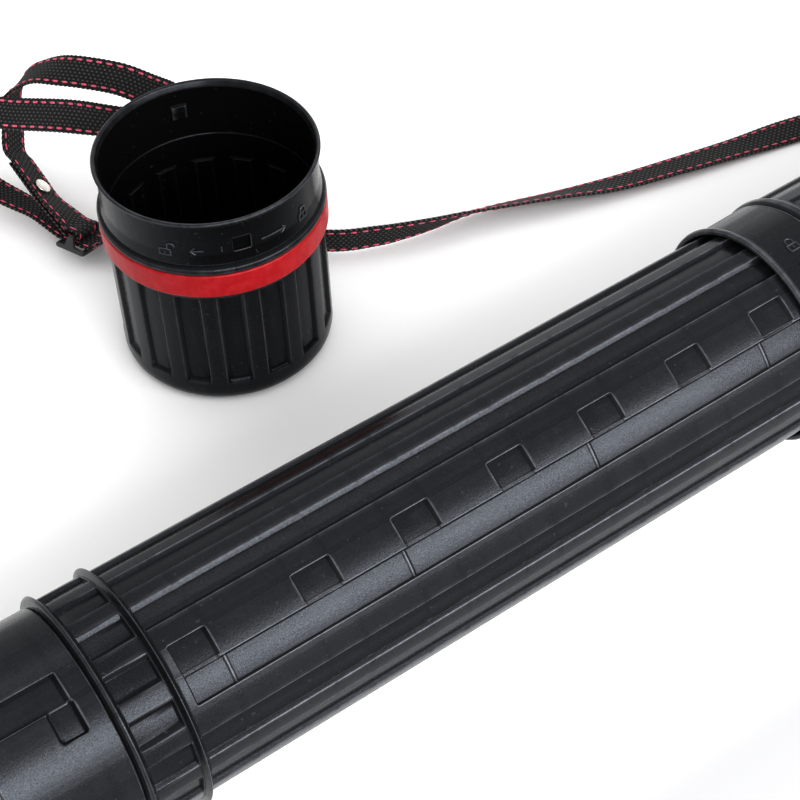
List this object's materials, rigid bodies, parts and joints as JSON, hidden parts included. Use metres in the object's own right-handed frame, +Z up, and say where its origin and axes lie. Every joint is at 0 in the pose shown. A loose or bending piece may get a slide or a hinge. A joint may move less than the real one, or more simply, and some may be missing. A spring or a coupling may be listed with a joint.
{
  "type": "drawing tube",
  "caption": "Telescopic fluted plastic tube for rolled drawings, with twist-lock notches, a loose bayonet cap standing beside it, swivel rings and a webbing carrying strap with a slider.",
  "frame": {"origin": "centre of the tube and cap's bounding box on the floor they lie on, the strap left out", "axes": "+X along the tube from its open mouth to its closed base, +Y toward the loose cap, +Z up"},
  "size_m": [0.892, 0.4228, 0.1125],
  "materials": {
    "black_plastic": "satin black moulded plastic",
    "red_plastic": "semi-gloss red moulded plastic",
    "webbing": "black woven webbing with red stitch lines",
    "slider_plastic": "satin dark moulded plastic",
    "rivet_steel": "bright plated rivet cap"
  },
  "bodies": {
    "strap_set": {"base_ring": "red_plastic", "cap_ring": "red_plastic", "strap_webbing": "webbing", "base_rivet_head": "rivet_steel", "base_rivet_back": "rivet_steel"},
    "outer_tube": {"outer_tube": "black_plastic"},
    "inner_tube": {"inner_tube": "black_plastic"},
    "cap": {"cap_shell": "black_plastic"},
    "slider": {"slider_buckle": "slider_plastic", "strap_slider_end": "webbing", "slider_rivet_head": "rivet_steel", "slider_rivet_back": "rivet_steel"}
  },
  "joints": [
    {"name": "telescope_slide", "type": "slide", "parent": "strap_set", "child": "inner_tube", "axis": [1, 0, 0], "range_m": [-0.09172, 0.27516]},
    {"name": "lock_twist", "type": "hinge", "parent": "strap_set", "child": "outer_tube", "pos_m": [-0.064, -0.09725, 0.0522], "axis": [-1, 0, 0], "range_deg": [0, 14.75]},
    {"name": "cap_swivel", "type": "hinge", "parent": "strap_set", "child": "cap", "pos_m": [-0.2186, 0.09645, 0.076], "axis": [0, 0, 1], "continuous": true},
    {"name": "slider_travel", "type": "slide", "parent": "strap_set", "child": "slider", "axis": [-0.4202, 0.9054, 0.06], "range_m": [-0.004, 0.01], "deforming": ["strap_slider_end", "strap_webbing"]}
  ]
}
